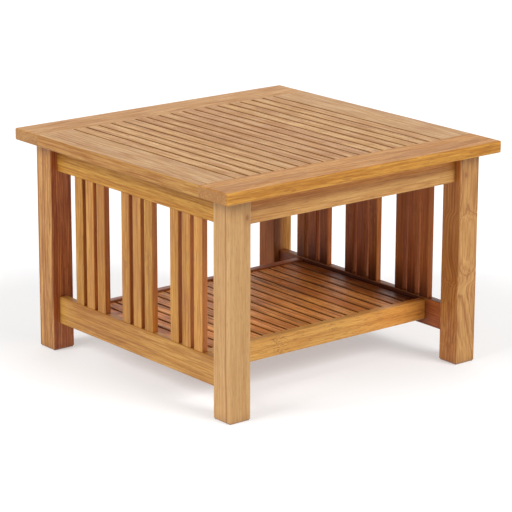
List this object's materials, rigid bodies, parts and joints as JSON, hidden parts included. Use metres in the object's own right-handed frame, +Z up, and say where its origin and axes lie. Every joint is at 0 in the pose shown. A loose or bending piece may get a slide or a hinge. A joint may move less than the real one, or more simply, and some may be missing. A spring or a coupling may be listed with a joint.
{
  "type": "low table",
  "caption": "Square low table with a framed slatted top, square legs, two sides of upright slats in groups and a slatted shelf between low side rails.",
  "frame": {"origin": "on the floor, under the middle of the table", "axes": "+Z up; -Y and +Y are the two open ends (front and back), -X and +X the two slatted sides"},
  "size_m": [0.76, 0.76, 0.503],
  "materials": {
    "teak_frame": "oiled teak, straight grain, satin",
    "teak_side_slats": "oiled teak, fine straight grain, satin",
    "teak_top_boards": "oiled teak, satin",
    "teak_top_slats": "oiled teak, slats of varied tone, satin",
    "teak_shelf_slats": "oiled teak, redder and darker, satin",
    "teak_battens": "planed teak, unpolished",
    "teak_pins": "teak, end grain"
  },
  "bodies": {
    "root": {"leg_front_left": "teak_frame", "leg_front_right": "teak_frame", "leg_back_left": "teak_frame", "leg_back_right": "teak_frame", "apron_front": "teak_frame", "apron_back": "teak_frame", "apron_left": "teak_frame", "apron_right": "teak_frame", "side_rail_left": "teak_frame", "side_rail_right": "teak_frame", "shelf_rail_front": "teak_frame", "shelf_rail_back": "teak_frame", "side_slats_left": "teak_side_slats", "side_slats_right": "teak_side_slats", "top_end_board_front": "teak_top_boards", "top_end_board_back": "teak_top_boards", "top_side_board_left": "teak_top_boards", "top_side_board_right": "teak_top_boards", "top_slat_01": "teak_top_slats", "top_slat_02": "teak_top_slats", "top_slat_03": "teak_top_slats", "top_slat_04": "teak_top_slats", "top_slat_05": "teak_top_slats", "top_slat_06": "teak_top_slats", "top_slat_07": "teak_top_slats", "top_slat_08": "teak_top_slats", "top_slat_09": "teak_top_slats", "top_slat_10": "teak_top_slats", "top_slat_11": "teak_top_slats", "top_slat_12": "teak_top_slats", "top_slat_13": "teak_top_slats", "top_slat_14": "teak_top_slats", "top_slat_15": "teak_top_slats", "top_slat_16": "teak_top_slats", "top_slat_17": "teak_top_slats", "shelf_slat_01": "teak_shelf_slats", "shelf_slat_02": "teak_shelf_slats", "shelf_slat_03": "teak_shelf_slats", "shelf_slat_04": "teak_shelf_slats", "shelf_slat_05": "teak_shelf_slats", "shelf_slat_06": "teak_shelf_slats", "shelf_slat_07": "teak_shelf_slats", "shelf_slat_08": "teak_shelf_slats", "shelf_slat_09": "teak_shelf_slats", "shelf_slat_10": "teak_shelf_slats", "shelf_slat_11": "teak_shelf_slats", "shelf_slat_12": "teak_shelf_slats", "shelf_slat_13": "teak_shelf_slats", "shelf_slat_14": "teak_shelf_slats", "shelf_slat_15": "teak_shelf_slats", "shelf_slat_16": "teak_shelf_slats", "shelf_slat_17": "teak_shelf_slats", "shelf_slat_18": "teak_shelf_slats", "top_batten": "teak_battens", "shelf_batten": "teak_battens", "apron_pins": "teak_pins", "cleat_front": "teak_battens", "cleat_back": "teak_battens", "cleat_left": "teak_battens", "cleat_right": "teak_battens"}
  },
  "joints": []
}
